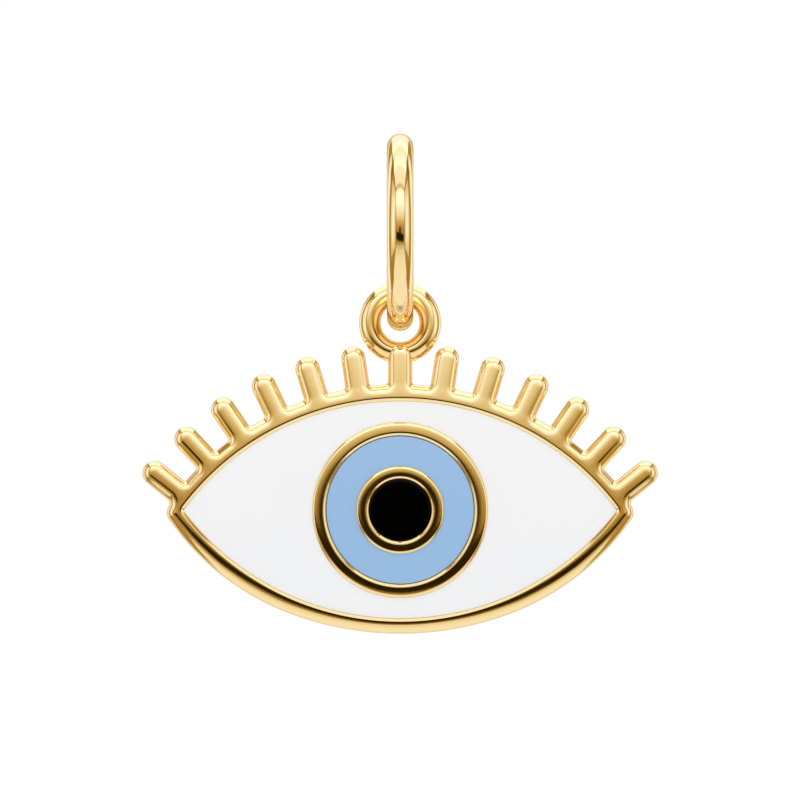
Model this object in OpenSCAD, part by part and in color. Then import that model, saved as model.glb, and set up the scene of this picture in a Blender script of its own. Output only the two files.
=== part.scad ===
// Evil eye pendant that hangs from a closed bail ring, sizes in millimetres.
// The eye faces -Y, the lashes point up, and the origin is where the chain
// lies: the top of the bail ring's inner side.

/* [Eye outline] */
// Height of the upper lid's inner edge above the middle of the pupil
eye_rise = 4.00; // [3.7:0.05:4.6]
// Depth of the lower lid's inner edge under the middle of the pupil
eye_drop = 3.98; // [3.7:0.05:4.6]
// Radius of the upper lid's inner edge
upper_edge_r = 9.68; // [8.8:0.02:10.8]
// Radius of the lower lid's inner edge
lower_edge_r = 9.79; // [8.8:0.02:10.8]
// How much the two inner corners of the eye are blunted
inner_blunt = 0.12; // [0.04:0.01:0.3]

/* [Rim] */
// Width of the upper lid's rim
upper_rim_w = 0.44; // [0.38:0.01:0.7]
// Width of the lower lid's rim at its lowest point
lower_rim_w = 0.40; // [0.36:0.01:0.7]
// Radius of the lower rim's outer edge in the middle
lower_outer_r = 11.13; // [10.6:0.02:12]
// Radius of the lower rim's outer edge towards the corners
lower_end_r = 10.07; // [9.6:0.01:10.5]
// How far the end arcs' circle reaches below the middle arc
lower_end_drop = 0.17; // [0.08:0.01:0.3]
// How much the two outer corners of the eye are blunted
outer_blunt = 0.10; // [0.04:0.01:0.3]
// Rounding of the front edges of the rim and the lashes
front_round = 0.26; // [0.15:0.01:0.27]
// Rounding of the back edges
back_round = 0.12; // [0.05:0.01:0.24]

/* [Thickness] */
// Thickness of the whole eye, front to back
eye_t = 1.30; // [1.1:0.05:1.8]
// Thickness of the back plate under the enamel
back_plate_t = 0.45; // [0.35:0.05:0.6]
// Depth of the enamel below the front of the rim
enamel_recess = 0.12; // [0.06:0.01:0.3]
// Width of the sloping inner wall between the rim's front and the enamel
slope_w = 0.19; // [0.08:0.01:0.26]

/* [Lashes] */
// Number of lashes on each side of the middle one
lash_pairs = 6; // [4:1:6]
// Width of a lash
lash_w = 0.86; // [0.6:0.02:0.96]
// Length of a lash outside the rim
lash_l = 1.46; // [1.1:0.02:2]
// Distance along the lid's inner edge from the eye's corner to the last lash
last_lash_in = 0.50; // [0.3:0.05:1]

/* [Iris and pupil] */
// Outer diameter of the iris ring
iris_ring_d = 6.18; // [5.6:0.02:6.6]
// Width of the iris ring
iris_ring_w = 0.48; // [0.4:0.01:0.6]
// Outer diameter of the pupil ring
pupil_ring_d = 3.08; // [2.6:0.02:3.6]
// Width of the pupil ring
pupil_ring_w = 0.43; // [0.36:0.01:0.5]
// Width of the two rings' sloping inner wall
ring_slope_w = 0.12; // [0.06:0.01:0.15]
// Rounding of the two rings' outer edges
ring_round = 0.14; // [0.08:0.01:0.18]

/* [Loop] */
// Diameter of the small loop's wire
loop_wire_d = 0.73; // [0.6:0.01:0.9]
// Diameter of the hole in the small loop
loop_hole_d = 1.38; // [1.2:0.02:1.8]
// Distance from the middle lash's tip to the loop's hole
tip_to_hole = 0.03; // [0.01:0.01:0.15]

/* [Bail ring] */
// Outer diameter of the bail ring
bail_d = 7.00; // [5.5:0.05:9]
// Diameter of the bail ring's wire
bail_wire_d = 0.95; // [0.7:0.01:1.05]

/* [Fits] */
// Gap between the enamel and the metal around and under it
enamel_gap = 0.03; // [0.02:0.01:0.05]
// Running gap between the loop and the bail ring that it hangs on
hang_gap = 0.04; // [0.02:0.01:0.1]

/* [Hidden] */
$fn = 96;

// Flat coordinates of the eye: x to the right, y up, z to the front, with the
// middle of the pupil at 0.
front_z = eye_t / 2;
back_z = -eye_t / 2;
floor_z = back_z + back_plate_t;
enamel_z = front_z - enamel_recess;
// How far cutting shapes reach past the metal
over = 1;

// Centres of the lids' arcs
upper_c = [0, eye_rise - upper_edge_r];
lower_c = [0, lower_edge_r - eye_drop];
lower_outer_c = [0, lower_outer_r - eye_drop - lower_rim_w];
lower_end_c = [0, lower_end_r - eye_drop - lower_rim_w - lower_end_drop];
rim_outer_r = upper_edge_r + upper_rim_w;

// Inside edge of the enamel's pocket, at the level of the enamel
upper_pocket_r = upper_edge_r - slope_w;
lower_pocket_r = lower_edge_r - slope_w;
iris_r = iris_ring_d / 2;
pupil_r = pupil_ring_d / 2;

// Right-hand crossing of two circles on the y axis: radius r round a, s round b
function crossing(a, r, b, s) =
    let (d = b.y - a.y, t = (d ^ 2 + r ^ 2 - s ^ 2) / (2 * d)) [sqrt(r ^ 2 - t ^ 2), a.y + t];

// Lashes stand on the upper lid's circle, evenly from corner to corner
eye_corner = crossing(upper_c, upper_edge_r, lower_c, lower_edge_r);
last_lash_angle = atan2(eye_corner.x, eye_corner.y - upper_c.y)
    - last_lash_in / upper_edge_r * 180 / PI;
lash_pitch = last_lash_angle / lash_pairs;
lash_root_r = upper_edge_r + upper_rim_w / 2;
lash_tip_r = rim_outer_r + lash_l;

// The loop stands over the middle lash, and the bail's wire lies in its hole
loop_r = (loop_hole_d + loop_wire_d) / 2;
loop_y = upper_c.y + lash_tip_r + tip_to_hole + loop_hole_d / 2;
wire_y = loop_y + loop_hole_d / 2 - hang_gap - bail_wire_d / 2;

// Heights in the finished part, from the chain's seat down
bail_r = (bail_d - bail_wire_d) / 2;
bail_z = -(bail_r - bail_wire_d / 2);
pupil_z = bail_z - bail_r - wire_y;

// Half section of a flat metal plate, from its middle out to its soft edge
module edge_section(w) {
    intersection() {
        translate([0, back_z - over]) square([w + over, eye_t + 2 * over]);
        union() {
            translate([0, back_z]) square([w - back_round, eye_t / 2]);
            square([w - front_round, eye_t / 2]);
            translate([0, back_z + back_round])
                square([w, eye_t - back_round - front_round]);
            translate([w - front_round, front_z - front_round]) circle(front_round);
            translate([w - back_round, back_z + back_round]) circle(back_round);
        }
    }
}

// Round plate of each kind: metal with soft edges, the pocket cut into it
// with sloping walls, or enamel that fills a space of radius r with its gap
module round_plate(kind, r) {
    if (kind == "metal") rotate_extrude() edge_section(r);
    if (kind == "pocket") rotate_extrude() polygon([
        [0, floor_z],
        [r, floor_z],
        [r, enamel_z],
        [r + slope_w, front_z],
        [r + slope_w, front_z + over],
        [0, front_z + over]
    ]);
    if (kind == "enamel")
        translate([0, 0, floor_z + enamel_gap])
            cylinder(r = r - enamel_gap, h = enamel_z - floor_z - enamel_gap);
}

// A thing on the right and its mirror image on the left
module both_sides() {
    children();
    mirror([1, 0, 0]) children();
}

// Where the arcs of the two lids cross, blunted by a circle round the eye
module almond(kind, ru, rl, cl, blunt) {
    corner = crossing(upper_c, ru, cl, rl);
    intersection() {
        translate(upper_c) round_plate(kind, ru);
        translate(cl) round_plate(kind, rl);
        translate([0, corner.y]) round_plate(kind, corner.x - blunt);
    }
}

// The pocket's outline, or that of the enamel in it
module inner_almond(kind) {
    almond(kind, upper_pocket_r, lower_pocket_r, lower_c, inner_blunt);
}

// The metal's outline: the lower rim's middle is a flatter arc
module outer_almond() {
    intersection() {
        almond("metal", rim_outer_r, lower_end_r, lower_end_c, outer_blunt);
        translate(lower_outer_c) round_plate("metal", lower_outer_r);
    }
}

// One lash, upright: a bar with soft edges and a round tip
module lash() {
    tip_y = lash_tip_r - lash_w / 2;
    rotate([90, 0, 0]) translate([0, 0, -tip_y]) linear_extrude(tip_y - lash_root_r)
        both_sides() edge_section(lash_w / 2);
    translate([0, tip_y, 0]) round_plate("metal", lash_w / 2);
}

// Flat-topped ring of metal standing in the pocket, with a soft outer edge
// and an inner wall that slopes down to the enamel
module collar(r, w) {
    foot_z = floor_z - back_plate_t / 2;
    edge = r - ring_round;
    rotate_extrude() {
        polygon([
            [r - w, foot_z],
            [edge, foot_z],
            [edge, front_z],
            [r - w + ring_slope_w, front_z],
            [r - w, enamel_z]
        ]);
        translate([edge, foot_z]) square([ring_round, front_z - ring_round - foot_z]);
        translate([edge, front_z - ring_round]) circle(ring_round);
    }
}

// From the flat coordinates to the hanging pendant
module hung() {
    translate([0, 0, pupil_z]) rotate([90, 0, 0]) children();
}

module eye_frame() {
    color("goldenrod") hung() {
        difference() {
            union() {
                outer_almond();
                for (i = [-lash_pairs : lash_pairs])
                    translate(upper_c) rotate(i * lash_pitch) lash();
            }
            inner_almond("pocket");
        }
        collar(iris_r, iris_ring_w);
        collar(pupil_r, pupil_ring_w);
        translate([0, loop_y, 0]) rotate_extrude() translate([loop_r, 0]) circle(loop_wire_d / 2);
    }
}

module white_enamel() {
    color("white") hung() difference() {
        inner_almond("enamel");
        translate([0, 0, back_z]) cylinder(r = iris_r + enamel_gap, h = eye_t);
    }
}

module blue_enamel() {
    color("lightskyblue") hung() difference() {
        round_plate("enamel", iris_r - iris_ring_w);
        translate([0, 0, back_z]) cylinder(r = pupil_r + enamel_gap, h = eye_t);
    }
}

module black_enamel() {
    color("black") hung() round_plate("enamel", pupil_r - pupil_ring_w);
}

module bail_ring() {
    color("gold") translate([0, 0, bail_z]) rotate([0, 90, 0])
        rotate_extrude() translate([bail_r, 0]) circle(bail_wire_d / 2);
}

eye_frame();
white_enamel();
blue_enamel();
black_enamel();
bail_ring();
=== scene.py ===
from math import asin, atan2, cos, pi, radians, sin, sqrt, tan

import bmesh
import bpy
from mathutils import Matrix, Vector


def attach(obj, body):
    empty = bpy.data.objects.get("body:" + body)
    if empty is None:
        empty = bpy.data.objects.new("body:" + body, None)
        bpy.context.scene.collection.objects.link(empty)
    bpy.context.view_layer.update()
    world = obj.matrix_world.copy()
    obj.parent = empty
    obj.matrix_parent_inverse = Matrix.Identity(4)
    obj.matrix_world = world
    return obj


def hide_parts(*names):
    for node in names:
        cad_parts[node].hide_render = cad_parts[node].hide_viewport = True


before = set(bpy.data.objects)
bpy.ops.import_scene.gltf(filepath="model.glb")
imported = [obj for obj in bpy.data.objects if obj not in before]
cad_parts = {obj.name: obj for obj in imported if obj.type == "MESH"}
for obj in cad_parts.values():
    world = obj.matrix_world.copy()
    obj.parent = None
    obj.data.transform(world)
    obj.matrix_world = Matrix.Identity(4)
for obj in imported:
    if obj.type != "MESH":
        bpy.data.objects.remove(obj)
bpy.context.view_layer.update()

# Eye frame. One casting in silver with thick yellow gold plating: back plate, rim of both
# lids and thirteen lashes. It is tumbled until every outer edge is round, and its gently
# domed front is polished to a mirror.

# Millimetres, x to the right, y up and z to the front, from the middle of the pupil
PUPIL_HEIGHT = -12.37
FRONT, BACK = 0.95, -0.65
FLOOR_LEVEL = -0.20
DOME_WIDE_R, DOME_TALL_R, DOME_TOP_Y = 75.0, 45.0, -1.7
FLAT_TO_HUNG = Matrix(((1, 0, 0, 0), (0, 0, -1, 0), (0, 1, 0, PUPIL_HEIGHT), (0, 0, 0, 1)))
MM = 0.001
WELD = 1e-5
SHARP_TURN = radians(40)


def dome(bm):
    """Lowers the front half by the polished front's curve; the well and the back stay flat."""
    for v in bm.verts:
        if v.co.z > 0:
            v.co.z -= v.co.x ** 2 / (2 * DOME_WIDE_R)
            v.co.z -= (v.co.y - DOME_TOP_Y) ** 2 / (2 * DOME_TALL_R)


def finish_piece(name, bm, material, flat=True):
    """Turns a mesh in millimetres into an object that hangs in place, in metres, smooth but
    for the edges that turn sharply. A flat mesh is one in the eye's own coordinates."""
    bmesh.ops.remove_doubles(bm, verts=bm.verts, dist=WELD)
    bmesh.ops.recalc_face_normals(bm, faces=bm.faces)
    if flat:
        bmesh.ops.transform(bm, matrix=FLAT_TO_HUNG, verts=bm.verts)
    bmesh.ops.scale(bm, vec=(MM, MM, MM), verts=bm.verts)
    for f in bm.faces:
        f.smooth = True
    for e in bm.edges:
        e.smooth = e.calc_face_angle(0) < SHARP_TURN
    mesh = bpy.data.meshes.new(name)
    bm.to_mesh(mesh)
    bm.free()
    mesh.materials.append(material)
    piece = bpy.data.objects.new(name, mesh)
    bpy.context.scene.collection.objects.link(piece)
    return piece


def linear(hex_colour):
    """sRGB hex colour as the linear colour that a shader takes."""
    channels = [int(hex_colour[i:i + 2], 16) / 255 for i in (1, 3, 5)]
    return [c / 12.92 if c <= 0.04045 else ((c + 0.055) / 1.055) ** 2.4 for c in channels] + [1]


def add_node(tree, kind, links=None, **settings):
    """Adds a shader node; settings are its properties, or its input sockets by name."""
    node = tree.nodes.new(kind)
    for key, value in settings.items():
        if hasattr(node, key):
            setattr(node, key, value)
        else:
            node.inputs[key.replace("_", " ")].default_value = value
    for socket, source in (links or {}).items():
        tree.links.new(source, node.inputs[socket])
    return node


def new_material(name):
    """Starts a material whose patterns lie in the piece's own coordinates."""
    material = bpy.data.materials.new(name)
    material.use_nodes = True
    tree = material.node_tree
    tree.nodes.clear()
    shader = add_node(tree, "ShaderNodeBsdfPrincipled")
    add_node(tree, "ShaderNodeOutputMaterial", {"Surface": shader.outputs["BSDF"]})
    place = add_node(tree, "ShaderNodeTexCoord").outputs["Object"]
    return material, tree, shader, place


# Yellow gold plating over silver, buffed to a mirror: it reflects sharply, with faint
# cloudiness about 0.6 mm across, and marks of the buff about 0.1 mm across.
GOLD_CLOUDS_PER_M, BUFF_MARKS_PER_M = 1600.0, 9000.0
CLOUDED = 0.965


def polished_gold(name, colour, softness):
    material, tree, shader, place = new_material(name)
    shader.inputs["Metallic"].default_value = 1.0
    clouds = add_node(tree, "ShaderNodeTexNoise", {"Vector": place},
                      Scale=GOLD_CLOUDS_PER_M, Detail=3.0)
    tone = add_node(tree, "ShaderNodeMix", {"Factor": clouds.outputs["Fac"]}, data_type="RGBA")
    tone.inputs["A"].default_value = linear(colour)
    tone.inputs["B"].default_value = [c * CLOUDED for c in linear(colour)[:3]] + [1]
    tree.links.new(tone.outputs["Result"], shader.inputs["Base Color"])
    gloss = add_node(tree, "ShaderNodeMapRange", {"Value": clouds.outputs["Fac"]},
                     To_Min=softness * 0.7, To_Max=softness * 1.3)
    tree.links.new(gloss.outputs["Result"], shader.inputs["Roughness"])
    marks = add_node(tree, "ShaderNodeTexNoise", {"Vector": place},
                     Scale=BUFF_MARKS_PER_M, Detail=2.0)
    buffed = add_node(tree, "ShaderNodeBump", {"Height": marks.outputs["Fac"]},
                      Strength=0.012, Distance=0.00002)
    tree.links.new(buffed.outputs["Normal"], shader.inputs["Normal"])
    return material


cast_gold = polished_gold("gold_plating_on_cast_silver_polished", "#FFE3B3", 0.09)

# The lids' arcs. Their inner edges lie a little outside the solid's, because the polished
# front starts to turn down there.
UPPER_C, LOWER_C = Vector((0, -5.68)), Vector((0, 5.81))
LOWER_OUTER_C, LOWER_END_C = Vector((0, 6.75)), Vector((0, 5.52))
RIM_R, LOWER_OUTER_R, LOWER_END_R = 10.12, 11.124, 10.07
UPPER_EDGE_R, LOWER_EDGE_R = 9.74, 9.85
CORNER_R, CORNER_X, INNER_CORNER_R = 0.38, 7.885, 0.30
LASH_PAIRS, LASH_PITCH = 6, radians(8.553)
LASH_HALF, LASH_TIP = 0.43, 11.149
ROOT_R, LAST_ROOT_R = 0.10, 0.20
HALF_WELD = 1e-4


def arc(bm, pen, centre, angle, steps):
    """Draws an arc from the vertex pen round centre, anticlockwise if angle is positive."""
    spun = bmesh.ops.spin(bm, geom=[pen], cent=(centre[0], centre[1], pen.co.z),
                          axis=(0, 0, 1), angle=angle, steps=steps)
    return next(g for g in spun["geom_last"] if isinstance(g, bmesh.types.BMVert))


def line(bm, pen, end, steps):
    """Draws a straight line from the vertex pen to end."""
    step = (Vector((*end, pen.co.z)) - pen.co) / steps
    for _ in range(steps):
        pen = bmesh.ops.extrude_vert_indiv(bm, verts=[pen])["verts"][0]
        pen.co += step
    return pen


def bearing(centre, point):
    """Angle of point seen from centre, clockwise from straight up."""
    return atan2(point[0] - centre[0], point[1] - centre[1])


def at_lash(i, across, out):
    """Point beside lash i: across its width to the right, and out from the lids' centre."""
    a = i * LASH_PITCH
    return UPPER_C + Vector((sin(a), cos(a))) * out + Vector((cos(a), -sin(a))) * across


def circle_crossing(a, r, b, s):
    """Right-hand crossing of two circles whose centres lie on the y axis."""
    d = b[1] - a[1]
    t = (d * d + r * r - s * s) / (2 * d)
    return Vector((sqrt(r * r - t * t), a[1] + t))


def turn_face(face, side):
    """Turns a flat face to the front, side 1, or to the back, side -1."""
    face.normal_update()
    if face.normal.z * side < 0:
        face.normal_flip()


def mirror_half(bm):
    """Mirrors half an outline to the left and joins the halves."""
    bmesh.ops.mirror(bm, geom=bm.verts[:] + bm.edges[:], axis="X", merge_dist=HALF_WELD)
    bmesh.ops.remove_doubles(bm, verts=bm.verts, dist=HALF_WELD)


def close_half(bm):
    """Fills half an outline and its mirror image with one face, turned to the front."""
    mirror_half(bm)
    bmesh.ops.contextual_create(bm, geom=bm.edges[:])
    face = bm.faces[0]
    turn_face(face, 1)
    return face


def sink(bm, face, steps):
    """Insets a flat face step by step, each a distance inwards and a rise."""
    for inwards, rise in steps:
        bmesh.ops.inset_region(bm, faces=[face], use_boundary=True, use_even_offset=True,
                               thickness=inwards, depth=rise)


def quarter_round(radius, steps):
    """Steps of a rounded edge, from the upright wall in towards the flat."""
    turns = [radians(90) * k / steps for k in range(steps + 1)]
    return [(radius * (cos(a) - cos(b)), radius * (sin(b) - sin(a)))
            for a, b in zip(turns, turns[1:])]


WEAR = 2.1


def tumbled_round(width, steps, steepest, flattest):
    """Steps of an edge worn by tumbling, from the upright wall in: it turns over fast by the
    wall and slowly towards the flat. The slopes are in degrees."""
    shares = [1 - (k + 0.5) / steps for k in range(steps)]
    slopes = [min(flattest + (90 - flattest) * share ** WEAR, steepest) for share in shares]
    return [(width / steps, width / steps * tan(radians(slope))) for slope in slopes]


# Right half of the outline, from the middle lash's tip round to the lowest point
TIP_STEPS, SIDE_STEPS, ROOT_STEPS, BETWEEN_STEPS = 28, 5, 10, 6
LAST_SIDE_STEPS, NOTCH_STEPS, CORNER_STEPS, END_STEPS, LOWEST_STEPS = 4, 12, 14, 36, 48
KINK_REACH, KINK_ROUNDS = 0.9, 60
BACK_ROUND = 0.12
plate = bmesh.new()
root_out = sqrt((RIM_R + ROOT_R) ** 2 - (LASH_HALF + ROOT_R) ** 2)
root_turn = pi / 2 - asin((LASH_HALF + ROOT_R) / (RIM_R + ROOT_R))
between = LASH_PITCH - 2 * (pi / 2 - root_turn)
pen = plate.verts.new((*at_lash(0, 0, LASH_TIP + LASH_HALF), BACK + BACK_ROUND))
pen = arc(plate, pen, at_lash(0, 0, LASH_TIP), -pi / 2, TIP_STEPS // 2)
for i in range(LASH_PAIRS):
    pen = line(plate, pen, at_lash(i, LASH_HALF, root_out), SIDE_STEPS)
    pen = arc(plate, pen, at_lash(i, LASH_HALF + ROOT_R, root_out), root_turn, ROOT_STEPS)
    pen = arc(plate, pen, UPPER_C, -between, BETWEEN_STEPS)
    pen = arc(plate, pen, at_lash(i + 1, -LASH_HALF - ROOT_R, root_out), root_turn, ROOT_STEPS)
    pen = line(plate, pen, at_lash(i + 1, -LASH_HALF, LASH_TIP), SIDE_STEPS)
    pen = arc(plate, pen, at_lash(i + 1, 0, LASH_TIP), -pi, TIP_STEPS)

# The last lash meets the eye's blunt corner in a round notch
corner = Vector((CORNER_X, 0))
corner.y = LOWER_END_C.y - sqrt((LOWER_END_R - CORNER_R) ** 2 - corner.x ** 2)
last = LASH_PAIRS * LASH_PITCH
to_corner = corner - UPPER_C
corner_across = to_corner.x * cos(last) - to_corner.y * sin(last)
corner_out = to_corner.x * sin(last) + to_corner.y * cos(last)
notch_across = LASH_HALF + LAST_ROOT_R
notch_out = corner_out + sqrt((CORNER_R + LAST_ROOT_R) ** 2 - (notch_across - corner_across) ** 2)
notch = at_lash(LASH_PAIRS, notch_across, notch_out)
pen = line(plate, pen, at_lash(LASH_PAIRS, LASH_HALF, notch_out), LAST_SIDE_STEPS)
notch_start = bearing(notch, at_lash(LASH_PAIRS, LASH_HALF, notch_out))
notch_turn = (notch_start - bearing(notch, corner)) % (2 * pi)
pen = arc(plate, pen, notch, notch_turn, NOTCH_STEPS)
corner_turn = bearing(LOWER_END_C, corner) - bearing(corner, notch)
pen = arc(plate, pen, corner, -(corner_turn % (2 * pi)), CORNER_STEPS)

# The lower rim's two arcs meet in a kink, which is smoothed. They cross at a shallow angle,
# so the crossing is put exactly on the end arc.
kink = circle_crossing(LOWER_OUTER_C, LOWER_OUTER_R, LOWER_END_C, LOWER_END_R)
kink.x = sqrt(LOWER_END_R ** 2 - (kink.y - LOWER_END_C.y) ** 2)
end_turn = bearing(LOWER_END_C, kink) - bearing(LOWER_END_C, pen.co)
pen = arc(plate, pen, LOWER_END_C, -end_turn, END_STEPS)
pen = arc(plate, pen, LOWER_OUTER_C, -(pi - bearing(LOWER_OUTER_C, kink)), LOWEST_STEPS)
near_kink = [v for v in plate.verts if v.co.y < 0 and abs(v.co.x - kink.x) < KINK_REACH]
for _ in range(KINK_ROUNDS):
    bmesh.ops.smooth_vert(plate, verts=near_kink, factor=0.5, use_axis_x=True, use_axis_y=True)
back_face = close_half(plate)

# Walls up to the crown, the tumbled crown itself, and the softer round of the back
CROWN_W = 0.325
BACK_MARGIN = 0.01
crown = tumbled_round(CROWN_W, steps=16, steepest=78, flattest=7)
crown_h = sum(rise for _, rise in crown)
raised = bmesh.ops.extrude_face_region(plate, geom=[back_face], use_keep_orig=True)["geom"]
front_face = next(g for g in raised if isinstance(g, bmesh.types.BMFace))
bmesh.ops.translate(plate, verts=front_face.verts,
                    vec=(0, 0, FRONT - crown_h - BACK - BACK_ROUND))
turn_face(front_face, 1)
turn_face(back_face, -1)
sink(plate, front_face, crown)
sink(plate, back_face, quarter_round(BACK_ROUND, steps=5) + [(BACK_MARGIN, 0)])
bmesh.ops.delete(plate, geom=[front_face], context="FACES_ONLY")


def draw_opening(bm, inside, level, lid_steps, corner_steps):
    """Draws the right half of the eye's opening, at a distance inside its inner edge."""
    end = circle_crossing(UPPER_C, UPPER_EDGE_R - INNER_CORNER_R,
                          LOWER_C, LOWER_EDGE_R - INNER_CORNER_R)
    upper_end, lower_end = bearing(UPPER_C, end), bearing(LOWER_C, end)
    pen = bm.verts.new((0, UPPER_C.y + UPPER_EDGE_R - inside, level))
    pen = arc(bm, pen, UPPER_C, -upper_end, lid_steps)
    pen = arc(bm, pen, end, upper_end - lower_end, corner_steps)
    arc(bm, pen, LOWER_C, lower_end - pi, lid_steps)


# The pocket for the enamel: a crisp inner edge, a bright sloping lip and a plain well
CRISP_W, CRISP_SLOPES = 0.006, (18, 26)
LIP_SLOPE, LIP_STEPS = 38, 4
END_STEEPNESS = 2.2
WALL_W, WALL_H = 0.001, 0.08
POCKET_SLOPES = (-1, 0.5, 1, 2, 3, 5, 6, 8)


def inner_edge(width, slopes, lip_w, end_w):
    """Steps of an inner edge worn by the polishing: it turns down slowly over width, then
    fast to the lip's slope, gets steep over end_w and ends upright under the enamel."""
    parts = [(CRISP_W, 0)] + [(width / len(slopes), slope) for slope in slopes]
    parts += [(CRISP_W, slope) for slope in CRISP_SLOPES]
    parts += [(lip_w / LIP_STEPS, LIP_SLOPE)] * LIP_STEPS
    steps = [(inwards, -inwards * tan(radians(slope))) for inwards, slope in parts]
    return steps + [(end_w, -END_STEEPNESS * end_w), (WALL_W, -WALL_H)]


pocket = bmesh.new()
draw_opening(pocket, 0, FRONT, lid_steps=84, corner_steps=14)
close_half(pocket)
pocket_mesh = bpy.data.meshes.new("pocket")
pocket.to_mesh(pocket_mesh)
pocket.free()
plate_faces = set(plate.faces)
plate.from_mesh(pocket_mesh)
bpy.data.meshes.remove(pocket_mesh)
pocket_face = next(f for f in plate.faces if f not in plate_faces)
turn_face(pocket_face, 1)
sink(plate, pocket_face, inner_edge(0.105, POCKET_SLOPES, lip_w=0.090, end_w=0.012))
well = bmesh.ops.extrude_face_region(plate, geom=[pocket_face])["geom"]
bmesh.ops.delete(plate, geom=[pocket_face], context="FACES_ONLY")
for g in well:
    if isinstance(g, bmesh.types.BMVert):
        g.co.z = FLOOR_LEVEL
front_edges = [e for e in plate.edges if e.is_boundary]
bmesh.ops.triangle_fill(plate, use_beauty=True, use_dissolve=False, edges=front_edges,
                        normal=(0, 0, 1))
dome(plate)
eye_rim = finish_piece("eye_rim", plate, cast_gold)

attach(eye_rim, "pendant")
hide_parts("eye_frame")

# Iris ring and pupil ring. Slightly crowned collars of the same casting that stand in the
# well and part the three enamels. Their tops are polished with the rim, their outer edges
# are tumbled round, and inside they slope down to the enamel.
IRIS_OUT, IRIS_EDGE, IRIS_IN = 3.116, 2.780, 2.590
PUPIL_OUT, PUPIL_EDGE, PUPIL_IN = 1.560, 1.245, 1.104
RING_SLOPES = (0.5, 1, 2, 3, 4, 5, 6, 8)
TOP_SHARES = (0.97, 0.75, 0.5, 0.25, 0)
DOME_FOOT = 0.02


def draw_section(bm, section):
    """Draws a section, given as radii and levels."""
    pen = bm.verts.new((section[0][0], 0, section[0][1]))
    for r, z in section[1:]:
        pen = bmesh.ops.extrude_vert_indiv(bm, verts=[pen])["verts"][0]
        pen.co = (r, 0, z)


def spin_round(bm, steps):
    """Spins a section full circle round the z axis."""
    bmesh.ops.spin(bm, geom=bm.verts[:] + bm.edges[:], cent=(0, 0, 0), axis=(0, 0, 1),
                   angle=2 * pi, steps=steps, use_merge=True)


def collar(name, outer, edge, worn_w, lip_w, end_w, round_w, crown_r, crest):
    """Ring with a tumbled outer edge. Its top curves down with the radius crown_r from a
    crest, which lies that far outside the radius edge, where the worn inner edge starts."""
    outer_edge = tumbled_round(round_w, steps=9, steepest=60, flattest=5)
    section = [(outer, FRONT - sum(rise for _, rise in outer_edge))]
    for inwards, rise in outer_edge:
        section.append((section[-1][0] - inwards, section[-1][1] + rise))
    flat_w = section[-1][0] - edge
    section += [(edge + flat_w * share, FRONT) for share in TOP_SHARES]
    for inwards, rise in inner_edge(worn_w, RING_SLOPES, lip_w, end_w):
        section.append((section[-1][0] - inwards, section[-1][1] + rise))
    inner = section[-1][0]
    section = [(r, z - (r - edge - crest) ** 2 / (2 * crown_r)) for r, z in section]
    bm = bmesh.new()
    draw_section(bm, [(outer, FLOOR_LEVEL), (outer, DOME_FOOT), *section,
                      (inner, DOME_FOOT), (inner, FLOOR_LEVEL), (outer, FLOOR_LEVEL)])
    spin_round(bm, steps=256)
    dome(bm)
    piece = finish_piece(name, bm, cast_gold)
    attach(piece, "pendant")
    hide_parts("eye_frame")


collar("iris_ring", IRIS_OUT, IRIS_EDGE, worn_w=0.065, lip_w=0.062, end_w=0.040,
       round_w=0.13, crown_r=2.7, crest=0.065)
collar("pupil_ring", PUPIL_OUT, PUPIL_EDGE, worn_w=0.062, lip_w=0.048, end_w=0.006,
       round_w=0.105, crown_r=2.0, crest=0.095)

# Small loop. Round wire of the same casting, closed and soldered to the middle lash. It
# stands behind the lash's round tip and leans back a little from the plane of the eye.
LOOP_Y, LOOP_R, LOOP_WIRE_R = 6.62, 1.0725, 0.3825
LOOP_LEAN = radians(6.5)
LOOP_DEPTH = -0.25


def wire_ring(ring_r, wire_r, wire_steps, ring_steps):
    """Torus round the z axis, spun from a circle of wire."""
    bm = bmesh.new()
    bmesh.ops.create_circle(bm, cap_ends=False, radius=wire_r, segments=wire_steps)
    bmesh.ops.rotate(bm, cent=(0, 0, 0), matrix=Matrix.Rotation(pi / 2, 3, "X"), verts=bm.verts)
    bmesh.ops.translate(bm, vec=(ring_r, 0, 0), verts=bm.verts)
    spin_round(bm, ring_steps)
    return bm


loop_mesh = wire_ring(LOOP_R, LOOP_WIRE_R, wire_steps=48, ring_steps=128)
bmesh.ops.rotate(loop_mesh, cent=(0, 0, 0), verts=loop_mesh.verts,
                 matrix=Matrix.Rotation(-LOOP_LEAN, 3, "X"))
bmesh.ops.translate(loop_mesh, vec=(0, LOOP_Y, LOOP_DEPTH), verts=loop_mesh.verts)
loop = finish_piece("small_loop", loop_mesh, cast_gold)
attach(loop, "pendant")
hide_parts("eye_frame")

# White enamel. Opaque glass enamel, filled into the well round the iris ring, fired and
# polished: one smooth glossy skin that follows the dome, a little below the rim.
ENAMEL_LEVEL = 0.865
FILL_BOTTOM = FLOOR_LEVEL + 0.05
FILL_TUCK = 0.01

# Vitreous enamel, fired and flame polished: opaque, glassy, with a very faint unevenness
# about 1.4 mm across that makes its reflections swim a little.
ENAMEL_CLOUDS_PER_M = 700.0


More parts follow.
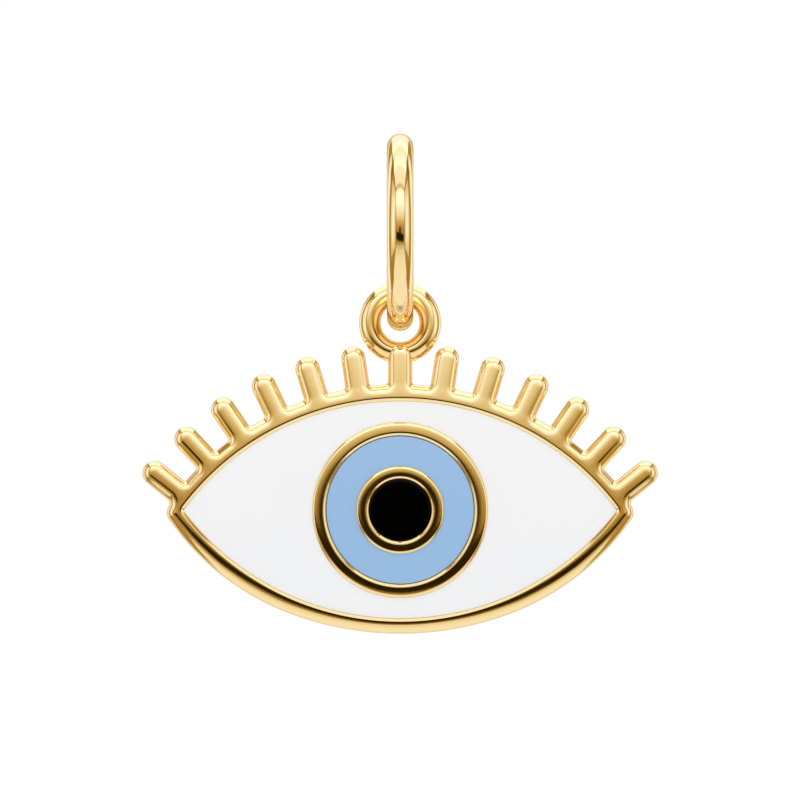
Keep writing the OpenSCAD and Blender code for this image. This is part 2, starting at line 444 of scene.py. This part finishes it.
def fired_enamel(name, colour, shade, softness, shine=0.5):
    material, tree, shader, place = new_material(name)
    shader.inputs["IOR"].default_value = 1.54
    shader.inputs["Specular IOR Level"].default_value = shine
    clouds = add_node(tree, "ShaderNodeTexNoise", {"Vector": place},
                      Scale=ENAMEL_CLOUDS_PER_M, Detail=2.0)
    tone = add_node(tree, "ShaderNodeMix", {"Factor": clouds.outputs["Fac"]}, data_type="RGBA")
    tone.inputs["A"].default_value = linear(colour)
    tone.inputs["B"].default_value = linear(shade)
    tree.links.new(tone.outputs["Result"], shader.inputs["Base Color"])
    gloss = add_node(tree, "ShaderNodeMapRange", {"Value": clouds.outputs["Fac"]},
                     To_Min=softness * 0.8, To_Max=softness * 1.2)
    tree.links.new(gloss.outputs["Result"], shader.inputs["Roughness"])
    swim = add_node(tree, "ShaderNodeBump", {"Height": clouds.outputs["Fac"]},
                    Strength=0.05, Distance=0.00002)
    tree.links.new(swim.outputs["Normal"], shader.inputs["Normal"])
    return material


# The skin's edge lies on the lip, where the lip reaches the enamel's level
LIP_IN = 0.222
SKIN_CUTS = 16
white = bmesh.new()
draw_opening(white, LIP_IN, ENAMEL_LEVEL, lid_steps=60, corner_steps=8)
mirror_half(white)
opening_loop = white.edges[:]
hole = bmesh.ops.create_circle(white, cap_ends=False, radius=IRIS_OUT - FILL_TUCK,
                               segments=len(opening_loop))["verts"]
bmesh.ops.translate(white, vec=(0, 0, ENAMEL_LEVEL), verts=hole)
drawn = set(opening_loop)
hole_loop = [e for e in white.edges if e not in drawn]
skin = bmesh.ops.bridge_loops(white, edges=hole_loop + opening_loop)["edges"]
bmesh.ops.subdivide_edges(white, edges=skin, cuts=SKIN_CUTS, use_grid_fill=True)
body = bmesh.ops.extrude_face_region(white, geom=white.faces[:], use_keep_orig=True)["geom"]
bottom = [g for g in body if isinstance(g, bmesh.types.BMVert)]
bmesh.ops.translate(white, vec=(0, 0, FILL_BOTTOM - ENAMEL_LEVEL), verts=bottom)
dome(white)
white_enamel = fired_enamel("white_vitreous_enamel_fired", "#F9F9FB", "#F7F8FA", 0.12)
white_fill = finish_piece("white_enamel_fill", white, white_enamel)
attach(white_fill, "pendant")
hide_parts("white_enamel")

# Blue and black enamel. The same glass, light blue in the iris and black in the pupil. Each
# is fired in its own well and polished level with the white.
SKIN_EDGE_W, SKIN_EDGE_DROP = 0.01, 0.004
SKIN_RINGS = 10


def round_fill(name, node, inner, outer, material):
    """Ring or disc of enamel from the radius inner to outer, spun from its section."""
    width = outer - SKIN_EDGE_W - inner
    section = [(outer, FILL_BOTTOM), (outer, ENAMEL_LEVEL - SKIN_EDGE_DROP)]
    section += [(outer - SKIN_EDGE_W - width * k / SKIN_RINGS, ENAMEL_LEVEL)
                for k in range(SKIN_RINGS + 1)]
    section += [(inner, FILL_BOTTOM), (outer, FILL_BOTTOM)]
    bm = bmesh.new()
    draw_section(bm, section)
    spin_round(bm, steps=192)
    dome(bm)
    piece = finish_piece(name, bm, material)
    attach(piece, "pendant")
    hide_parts(node)


blue_enamel = fired_enamel("light_blue_vitreous_enamel_fired", "#9FC3EA", "#9BC0E8", 0.12)
round_fill("blue_enamel_fill", "blue_enamel",
           PUPIL_OUT - FILL_TUCK, IRIS_IN + FILL_TUCK, blue_enamel)
black_enamel = fired_enamel("black_vitreous_enamel_fired", "#010101", "#020202", 0.06, 0.12)
round_fill("black_enamel_fill", "black_enamel",
           0.0, PUPIL_IN + FILL_TUCK, black_enamel)

# Bail ring. Round wire of plated silver, bent to a ring, soldered shut and polished. It
# passes through the small loop and carries the eye on a chain.
BAIL_R, BAIL_WIRE_R, BAIL_Z = 3.025, 0.470, -2.55
bail_mesh = wire_ring(BAIL_R, BAIL_WIRE_R, wire_steps=64, ring_steps=192)
bmesh.ops.rotate(bail_mesh, cent=(0, 0, 0), matrix=Matrix.Rotation(pi / 2, 3, "Y"),
                 verts=bail_mesh.verts)
bmesh.ops.translate(bail_mesh, vec=(0, 0, BAIL_Z), verts=bail_mesh.verts)
wire_gold = polished_gold("gold_plating_on_silver_wire_polished", "#FFE3B3", 0.07)
bail = finish_piece("bail_wire_ring", bail_mesh, wire_gold, flat=False)
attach(bail, "bail")
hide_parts("bail_ring")

# Studio. A light tent of white cloth, in metres: a large soft light in front over the camera,
# lights at the sides, behind and overhead, and white paper below, with dimmer gaps between
# them. A dim patch straight behind the pendant is painted shade: in the gold it stands in for
# the pendant's shadow on what lies behind it. The gold sees these cards. The daylight on the
# enamels comes from the air.
AIM = Vector((0, 0, -0.0085))
RED, RED_FADE, RED_MOST = 0.99, 0.69, 1.75
BLUE, BLUE_FADE, BLUE_MOST = 0.9, 1.94, 1.5
RAMP_TOP = 4


def tint(level):
    """Colour of the tent's light at a level: dim cloth is warm, bright cloth is white."""
    red = min(RED * level ** RED_FADE, RED_MOST * level)
    blue = min(BLUE * level ** BLUE_FADE, BLUE_MOST)
    return red, level, blue


def ramp_colour(level):
    """The light's colour as a share of the brightest that a colour ramp has to hold."""
    return [c / RAMP_TOP for c in tint(level)] + [1]


def new_light(name, colour, strength):
    material = bpy.data.materials.new(name)
    material.use_nodes = True
    tree = material.node_tree
    tree.nodes.clear()
    light = add_node(tree, "ShaderNodeEmission", Color=[*colour, 1], Strength=strength)
    out = add_node(tree, "ShaderNodeOutputMaterial", {"Surface": light.outputs["Emission"]})
    return material, tree, light, out


def cloth_light(name, bright, dim, half, soft, stops, sheer):
    """Light of the level bright in the middle of a card and dim at its edges, or of the
    levels in stops (height in metres, level) up the card. A sheer one fades away."""
    material, tree, light, out = new_light(name, tint(bright), 1)
    place = add_node(tree, "ShaderNodeTexCoord").outputs["Object"]
    across = add_node(tree, "ShaderNodeSeparateXYZ", {"Vector": place})
    if soft:
        fades = []
        for axis, reach, fade in (("X", half[0], soft[0]), ("Y", half[1], soft[1])):
            size = add_node(tree, "ShaderNodeMath", {0: across.outputs[axis]},
                            operation="ABSOLUTE")
            fades.append(add_node(tree, "ShaderNodeMapRange", {"Value": size.outputs["Value"]},
                                  interpolation_type="SMOOTHSTEP",
                                  From_Min=reach, From_Max=reach - fade))
        both = add_node(tree, "ShaderNodeMath", {0: fades[0].outputs["Result"],
                                                 1: fades[1].outputs["Result"]},
                        operation="MULTIPLY")
        if sheer:
            clear = add_node(tree, "ShaderNodeBsdfTransparent")
            fade = add_node(tree, "ShaderNodeMixShader",
                            {0: both.outputs["Value"], 1: clear.outputs["BSDF"],
                             2: light.outputs["Emission"]})
            tree.links.new(fade.outputs["Shader"], out.inputs["Surface"])
        else:
            level = add_node(tree, "ShaderNodeMix", {"Factor": both.outputs["Value"]},
                             data_type="RGBA")
            level.inputs["A"].default_value = ramp_colour(dim)
            level.inputs["B"].default_value = ramp_colour(bright)
            tree.links.new(level.outputs["Result"], light.inputs["Color"])
            light.inputs["Strength"].default_value = RAMP_TOP
    if stops:
        low, high = stops[0][0], stops[-1][0]
        share = add_node(tree, "ShaderNodeMapRange", {"Value": across.outputs["Y"]},
                         From_Min=low, From_Max=high)
        ramp = add_node(tree, "ShaderNodeValToRGB", {"Fac": share.outputs["Result"]})
        elements = ramp.color_ramp.elements
        while len(elements) < len(stops):
            elements.new(0.5)
        for element, (up, level) in zip(elements, stops):
            element.position = (up - low) / (high - low)
            element.color = ramp_colour(level)
        tree.links.new(ramp.outputs["Color"], light.inputs["Color"])
        light.inputs["Strength"].default_value = RAMP_TOP
    return material


def card(name, azimuth, elevation, distance, reach, bright=1, dim=None, soft=None, stops=None,
         sheer=False, roll=0):
    """Flat card square to the line from the pendant at azimuth (0 is the camera's side, 90
    is +X) and elevation. Its reach left, right, down and up is in shares of its distance,
    and so are the widths of its soft edges and the heights of its stops."""
    a, e = radians(azimuth), radians(elevation)
    away = Vector((sin(a) * cos(e), -cos(a) * cos(e), sin(e)))
    right = Vector((cos(a), sin(a), 0))
    up = Vector((-sin(a) * sin(e), cos(a) * sin(e), cos(e)))
    left_x, right_x, low_y, high_y = (distance * s for s in reach)
    half = ((right_x - left_x) / 2, (high_y - low_y) / 2)
    middle = AIM + away * distance + right * (left_x + half[0]) + up * (low_y + half[1])
    bm = bmesh.new()
    bmesh.ops.create_grid(bm, x_segments=1, y_segments=1, size=1)
    bmesh.ops.scale(bm, vec=(half[0], half[1], 1), verts=bm.verts)
    mesh = bpy.data.meshes.new(name)
    bm.to_mesh(mesh)
    bm.free()
    thing = bpy.data.objects.new(name, mesh)
    turn = Matrix((right, up, away)).transposed() @ Matrix.Rotation(radians(roll), 3, "Z")
    thing.matrix_world = Matrix.Translation(middle) @ turn.to_4x4()
    bpy.context.scene.collection.objects.link(thing)
    if stops:
        middle_y = low_y + half[1]
        stops = [(distance * at - middle_y, level) for at, level in stops]
    if soft:
        soft = (soft[0] * distance, soft[1] * distance)
    mesh.materials.append(cloth_light(name, bright, dim, half, soft, stops, sheer))
    thing.visible_camera = thing.visible_diffuse = thing.visible_shadow = False


def card_stops(middle, levels):
    """Levels at elevations in degrees, as stops on a card whose middle is at another."""
    return [(tan(radians(elevation - middle)), level) for elevation, level in levels]


key_stops = card_stops(25, (
    (-1.5, 0.2), (3, 0.3), (8, 0.4), (12, 0.55), (17, 0.8), (24, 1.04), (33, 1.22),
    (37, 2.1), (43, 2.2), (47.5, 1.5), (50, 1.1), (54, 0.62), (59, 0.62)))
card("key_light", 0, 25, 0.5, (-0.62, 0.68, key_stops[0][0], key_stops[-1][0]), stops=key_stops)
top_stops = [
    (-0.63, 1.0), (-0.38, 1.05), (-0.12, 1.1), (-0.03, 1.9), (0.1, 1.9), (0.22, 1.15),
    (0.5, 1.1), (0.7, 2.0), (0.85, 2.2), (1.0, 1.2), (1.4, 1.1), (2.75, 1.1)]
card("top_light", 0, 90, 0.5, (-0.77, 0.77, top_stops[0][0], top_stops[-1][0]), stops=top_stops)
paper_stops = card_stops(-75, (
    (-143, 0.85), (-125, 1.0), (-60, 1.0), (-34, 0.93), (-22, 0.78), (-15, 0.4), (-10, 0.1)))
card("paper_below", 0, -75, 0.5, (-1.15, 1.15, paper_stops[0][0], paper_stops[-1][0]),
     stops=paper_stops)
card("back_cloth", 180, 0, 0.5, (-1.0, 1.0, -1.0, 0.36), bright=0.8)
# Painted shade: a dim sheet straight behind the pendant, seen only in the gold, in place of the
# pendant's shadow on what lies behind it
card("back_painted_shade", 180, 0, 0.45, (-0.45, 0.45, -0.4, 0.36), bright=0.5, soft=(0.2, 0.2), sheer=True)
for side, name in ((-1, "left"), (1, "right")):
    card(name + "_light", side * 64, 14, 0.5, (-0.425, 0.425, -0.618, 0.554),
         bright=1.17, dim=0.68, soft=(0.38, 0.42))
    card(name + "_back_light", side * 121, 5, 0.5, (-0.235, 0.235, -0.70, 0.70),
         bright=1.1, dim=0.9, soft=(0.1, 0.1))
    card(name + "_upper_gap", side * 106, 42, 0.4, (-0.2, 0.2, -0.26, 0.26),
         bright=0.15, soft=(0.14, 0.14), sheer=True)
    card(name + "_lower_gap", side * 84, -31, 0.4, (-0.26, 0.26, -0.26, 0.26),
         bright=0.25, soft=(0.12, 0.12), sheer=True)

# The dark slot in the cloth that the camera looks through, and the shade round its lens
card("camera_slot", 0, -3.4, 0.22, (-0.70, 0.65, -0.137, 0.067),
     bright=0.01, soft=(0.10, 0.035), sheer=True, roll=-3)
card("camera_shade", -1, 2.0, 0.215, (-0.21, 0.21, -0.16, 0.13),
     bright=0.01, soft=(0.17, 0.10), sheer=True)

# Backdrop. White paper all round, lit evenly, that only the camera sees, so that every view
# has a plain white ground.
BACKDROP_R, BACKDROP_LEVEL = 0.9, 1.02
bm = bmesh.new()
bmesh.ops.create_icosphere(bm, subdivisions=3, radius=BACKDROP_R)
backdrop_mesh = bpy.data.meshes.new("backdrop")
bm.to_mesh(backdrop_mesh)
bm.free()
backdrop_mesh.materials.append(new_light("backdrop_white", (1, 1, 1), BACKDROP_LEVEL)[0])
backdrop = bpy.data.objects.new("backdrop", backdrop_mesh)
backdrop.visible_glossy = backdrop.visible_diffuse = backdrop.visible_shadow = False
backdrop.visible_transmission = False
bpy.context.scene.collection.objects.link(backdrop)

# Table. Pale board with a matt finish and the faintest grain, far enough below to leave the
# pendant free from every side.
TABLE_R, TABLE_Z = 0.4, -0.15
bm = bmesh.new()
bmesh.ops.create_circle(bm, cap_ends=True, radius=TABLE_R, segments=96)
bmesh.ops.translate(bm, vec=(0, 0, TABLE_Z), verts=bm.verts)
floor_mesh = bpy.data.meshes.new("floor")
bm.to_mesh(floor_mesh)
bm.free()
floor_material, tree, shader, place = new_material("white_table_matt")
shader.inputs["Roughness"].default_value = 0.7
grain = add_node(tree, "ShaderNodeTexNoise", {"Vector": place}, Scale=60.0)
tone = add_node(tree, "ShaderNodeMix", {"Factor": grain.outputs["Fac"]}, data_type="RGBA")
tone.inputs["A"].default_value = linear("#FAFAFA")
tone.inputs["B"].default_value = linear("#F6F6F6")
tree.links.new(tone.outputs["Result"], shader.inputs["Base Color"])
floor_mesh.materials.append(floor_material)
floor = bpy.data.objects.new("floor", floor_mesh)
floor.visible_glossy = False
bpy.context.scene.collection.objects.link(floor)

# Air round the tent. It is even white daylight on what is matt, and dim cloth in the gold.
DIM_CLOTH = 0.30
world = bpy.data.worlds.new("studio_air")
bpy.context.scene.world = world
world.use_nodes = True
tree = world.node_tree
tree.nodes.clear()
daylight = add_node(tree, "ShaderNodeBackground", Color=[1, 1, 1, 1], Strength=1.0)
cloth = add_node(tree, "ShaderNodeBackground", Color=[*tint(DIM_CLOTH), 1], Strength=1.0)
path = add_node(tree, "ShaderNodeLightPath")
seen = add_node(tree, "ShaderNodeMixShader",
                {0: path.outputs["Is Glossy Ray"], 1: daylight.outputs["Background"],
                 2: cloth.outputs["Background"]})
add_node(tree, "ShaderNodeOutputWorld", {"Surface": seen.outputs["Shader"]})

# Camera. A long lens 0.21 m in front of the eye's front, square to it and level with the
# pendant's middle. It takes in a width of 28.27 mm there.
CAMERA_AT = (-0.0000044, -0.2105, -0.0084887)
LENS_DISTANCE, VIEW_W = 0.2100, 0.02827
camera_data = bpy.data.cameras.new("camera")
camera_data.sensor_width = 36
camera_data.lens = camera_data.sensor_width * LENS_DISTANCE / VIEW_W
camera_data.clip_start, camera_data.clip_end = 0.001, 20
camera = bpy.data.objects.new("camera_main", camera_data)
camera.matrix_world = Matrix.Translation(CAMERA_AT) @ Matrix.Rotation(pi / 2, 4, "X")
bpy.context.scene.collection.objects.link(camera)
bpy.context.scene.camera = camera
bpy.context.scene.view_settings.view_transform = "Standard"
